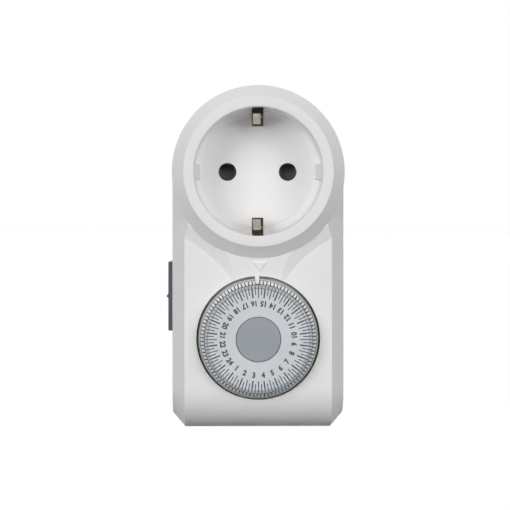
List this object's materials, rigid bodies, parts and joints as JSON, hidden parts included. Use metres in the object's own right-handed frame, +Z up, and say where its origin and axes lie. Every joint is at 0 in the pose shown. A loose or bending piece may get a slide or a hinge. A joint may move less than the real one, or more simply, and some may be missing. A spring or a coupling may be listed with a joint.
{
  "type": "plug-in timer switch",
  "caption": "Plug-in timer switch: a round recessed socket above a turning day dial ringed with press tabs, a side switch, and a two-pin plug behind.",
  "frame": {"origin": "middle of the plug's end face, midway between the pins", "axes": "+Y along the plug's pins, out of the back; +Z up along the body's length; +X to the right seen from the front; the socket and the dial face -Y"},
  "size_m": [0.055, 0.0785, 0.1065],
  "materials": {
    "white_housing": "smooth white moulded plastic",
    "dial_grey": "smooth light grey plastic",
    "knob_grey": "satin mid grey plastic",
    "tab_grey": "satin grey plastic",
    "button_blue": "satin grey-blue plastic",
    "shutter_dark": "dark grey plastic",
    "carrier_plastic": "natural light grey plastic",
    "gear_plastic": "natural acetal",
    "spring_steel": "spring steel wire",
    "steel": "zinc plated steel",
    "nickel_brass": "nickel plated brass",
    "bare_brass": "bare brass strip",
    "earth_steel": "plated spring steel strip",
    "bronze": "phosphor bronze spring strip",
    "bobbin_plastic": "natural nylon",
    "copper_wire": "enamelled copper wire",
    "magnet": "bonded magnet",
    "lead_red": "PVC insulation"
  },
  "bodies": {
    "housing": {"front_housing": "white_housing", "rear_housing": "white_housing", "socket_insert": "white_housing", "contact_base": "carrier_plastic", "shutter_spring": "spring_steel", "contact_left": "bare_brass", "contact_right": "bare_brass", "earth_bracket": "earth_steel", "plug_pin_left": "nickel_brass", "plug_pin_right": "nickel_brass", "live_bar": "bare_brass", "neutral_bar": "bare_brass", "switched_bar": "bare_brass", "switch_base": "carrier_plastic", "gear_plate": "carrier_plastic", "gear_axles": "steel", "motor_can": "steel", "motor_cover": "steel", "motor_bobbin": "bobbin_plastic", "motor_winding": "copper_wire", "motor_leads": "lead_red", "housing_screws": "steel"},
    "dial": {"dial_carrier": "tab_grey", "dial_plate": "dial_grey", "dial_knob": "knob_grey"},
    "override": {"override_slider": "button_blue"},
    "shutter": {"shutter": "shutter_dark"},
    "lever": {"feeler_lever": "button_blue"},
    "blade": {"moving_contact": "bronze"},
    "drive_pinion": {"output_pinion": "gear_plastic"},
    "clutch": {"clutch_wheel": "gear_plastic"},
    "gear_4": {"wheel_4": "gear_plastic"},
    "gear_3": {"wheel_3": "gear_plastic"},
    "gear_2": {"wheel_2": "gear_plastic"},
    "gear_1": {"wheel_1": "gear_plastic"},
    "rotor": {"motor_rotor": "magnet"},
    "tab_01": {"tab_01": "tab_grey"},
    "tab_02": {"tab_02": "tab_grey"},
    "tab_03": {"tab_03": "tab_grey"},
    "tab_04": {"tab_04": "tab_grey"},
    "tab_05": {"tab_05": "tab_grey"},
    "tab_06": {"tab_06": "tab_grey"},
    "tab_07": {"tab_07": "tab_grey"},
    "tab_08": {"tab_08": "tab_grey"},
    "tab_09": {"tab_09": "tab_grey"},
    "tab_10": {"tab_10": "tab_grey"},
    "tab_11": {"tab_11": "tab_grey"},
    "tab_12": {"tab_12": "tab_grey"},
    "tab_13": {"tab_13": "tab_grey"},
    "tab_14": {"tab_14": "tab_grey"},
    "tab_15": {"tab_15": "tab_grey"},
    "tab_16": {"tab_16": "tab_grey"},
    "tab_17": {"tab_17": "tab_grey"},
    "tab_18": {"tab_18": "tab_grey"},
    "tab_19": {"tab_19": "tab_grey"},
    "tab_20": {"tab_20": "tab_grey"},
    "tab_21": {"tab_21": "tab_grey"},
    "tab_22": {"tab_22": "tab_grey"},
    "tab_23": {"tab_23": "tab_grey"},
    "tab_24": {"tab_24": "tab_grey"}
  },
  "joints": [
    {"name": "dial_spin", "type": "hinge", "parent": "housing", "child": "dial", "pos_m": [0, -0.0501, -0.0512], "axis": [0, 1, 0], "continuous": true},
    {"name": "override_slide", "type": "slide", "parent": "housing", "child": "override", "axis": [0, 0, 1], "range_m": [0, 0.004]},
    {"name": "shutter_slide", "type": "slide", "parent": "housing", "child": "shutter", "axis": [0, 0, -1], "range_m": [0, 0.0064], "stiffness_N_per_m": 30, "springref_m": -0.003, "deforming": ["shutter_spring"]},
    {"name": "rotor_spin", "type": "hinge", "parent": "housing", "child": "rotor", "pos_m": [0, -0.0402, -0.0572], "axis": [0, 1, 0], "continuous": true},
    {"name": "wheel_1_spin", "type": "hinge", "parent": "housing", "child": "gear_1", "pos_m": [0.01005, -0.0398, -0.05897], "axis": [0, 1, 0], "continuous": true},
    {"name": "wheel_2_spin", "type": "hinge", "parent": "housing", "child": "gear_2", "pos_m": [0.00137, -0.0411, -0.06433], "axis": [0, 1, 0], "continuous": true},
    {"name": "wheel_3_spin", "type": "hinge", "parent": "housing", "child": "gear_3", "pos_m": [-0.00889, -0.0424, -0.06095], "axis": [0, 1, 0], "continuous": true},
    {"name": "wheel_4_spin", "type": "hinge", "parent": "housing", "child": "gear_4", "pos_m": [-0.0132, -0.0437, -0.05105], "axis": [0, 1, 0], "continuous": true},
    {"name": "clutch_spin", "type": "hinge", "parent": "housing", "child": "clutch", "pos_m": [-0.00928, -0.045, -0.04099], "axis": [0, 1, 0], "continuous": true},
    {"name": "drive_pinion_spin", "type": "hinge", "parent": "housing", "child": "drive_pinion", "pos_m": [-0.00928, -0.0466, -0.04099], "axis": [0, 1, 0], "continuous": true},
    {"name": "lever_tilt", "type": "hinge", "parent": "housing", "child": "lever", "pos_m": [0, -0.0464, -0.0272], "axis": [1, 0, 0], "range_deg": [0, 14.4]},
    {"name": "blade_flex", "type": "hinge", "parent": "housing", "child": "blade", "pos_m": [0, -0.0233, -0.0265], "axis": [-1, 0, 0], "range_deg": [0, 3.65]},
    {"name": "tab_01_press", "type": "slide", "parent": "dial", "child": "tab_01", "axis": [0, 1, 0], "range_m": [0, 0.002]},
    {"name": "tab_02_press", "type": "slide", "parent": "dial", "child": "tab_02", "axis": [0, 1, 0], "range_m": [0, 0.002]},
    {"name": "tab_03_press", "type": "slide", "parent": "dial", "child": "tab_03", "axis": [0, 1, 0], "range_m": [0, 0.002]},
    {"name": "tab_04_press", "type": "slide", "parent": "dial", "child": "tab_04", "axis": [0, 1, 0], "range_m": [0, 0.002]},
    {"name": "tab_05_press", "type": "slide", "parent": "dial", "child": "tab_05", "axis": [0, 1, 0], "range_m": [0, 0.002]},
    {"name": "tab_06_press", "type": "slide", "parent": "dial", "child": "tab_06", "axis": [0, 1, 0], "range_m": [0, 0.002]},
    {"name": "tab_07_press", "type": "slide", "parent": "dial", "child": "tab_07", "axis": [0, 1, 0], "range_m": [0, 0.002]},
    {"name": "tab_08_press", "type": "slide", "parent": "dial", "child": "tab_08", "axis": [0, 1, 0], "range_m": [0, 0.002]},
    {"name": "tab_09_press", "type": "slide", "parent": "dial", "child": "tab_09", "axis": [0, 1, 0], "range_m": [0, 0.002]},
    {"name": "tab_10_press", "type": "slide", "parent": "dial", "child": "tab_10", "axis": [0, 1, 0], "range_m": [0, 0.002]},
    {"name": "tab_11_press", "type": "slide", "parent": "dial", "child": "tab_11", "axis": [0, 1, 0], "range_m": [0, 0.002]},
    {"name": "tab_12_press", "type": "slide", "parent": "dial", "child": "tab_12", "axis": [0, 1, 0], "range_m": [0, 0.002]},
    {"name": "tab_13_press", "type": "slide", "parent": "dial", "child": "tab_13", "axis": [0, 1, 0], "range_m": [0, 0.002]},
    {"name": "tab_14_press", "type": "slide", "parent": "dial", "child": "tab_14", "axis": [0, 1, 0], "range_m": [0, 0.002]},
    {"name": "tab_15_press", "type": "slide", "parent": "dial", "child": "tab_15", "axis": [0, 1, 0], "range_m": [0, 0.002]},
    {"name": "tab_16_press", "type": "slide", "parent": "dial", "child": "tab_16", "axis": [0, 1, 0], "range_m": [0, 0.002]},
    {"name": "tab_17_press", "type": "slide", "parent": "dial", "child": "tab_17", "axis": [0, 1, 0], "range_m": [0, 0.002]},
    {"name": "tab_18_press", "type": "slide", "parent": "dial", "child": "tab_18", "axis": [0, 1, 0], "range_m": [0, 0.002]},
    {"name": "tab_19_press", "type": "slide", "parent": "dial", "child": "tab_19", "axis": [0, 1, 0], "range_m": [0, 0.002]},
    {"name": "tab_20_press", "type": "slide", "parent": "dial", "child": "tab_20", "axis": [0, 1, 0], "range_m": [0, 0.002]},
    {"name": "tab_21_press", "type": "slide", "parent": "dial", "child": "tab_21", "axis": [0, 1, 0], "range_m": [0, 0.002]},
    {"name": "tab_22_press", "type": "slide", "parent": "dial", "child": "tab_22", "axis": [0, 1, 0], "range_m": [0, 0.002]},
    {"name": "tab_23_press", "type": "slide", "parent": "dial", "child": "tab_23", "axis": [0, 1, 0], "range_m": [0, 0.002]},
    {"name": "tab_24_press", "type": "slide", "parent": "dial", "child": "tab_24", "axis": [0, 1, 0], "range_m": [0, 0.002]}
  ],
  "couplings": [
    {"joint": "drive_pinion_spin", "follows": "dial_spin", "ratio": 12.5},
    {"joint": "wheel_1_spin", "follows": "rotor_spin", "ratio": -0.13333},
    {"joint": "wheel_2_spin", "follows": "rotor_spin", "ratio": 0.017778},
    {"joint": "wheel_3_spin", "follows": "rotor_spin", "ratio": -0.0022222},
    {"joint": "wheel_4_spin", "follows": "rotor_spin", "ratio": 0.00027778},
    {"joint": "clutch_spin", "follows": "rotor_spin", "ratio": -0.000034722},
    {"joint": "lever_tilt", "follows": "tab_01_press", "rad_per_m": 125},
    {"joint": "blade_flex", "follows": "tab_01_press", "rad_per_m": 31.5}
  ]
}
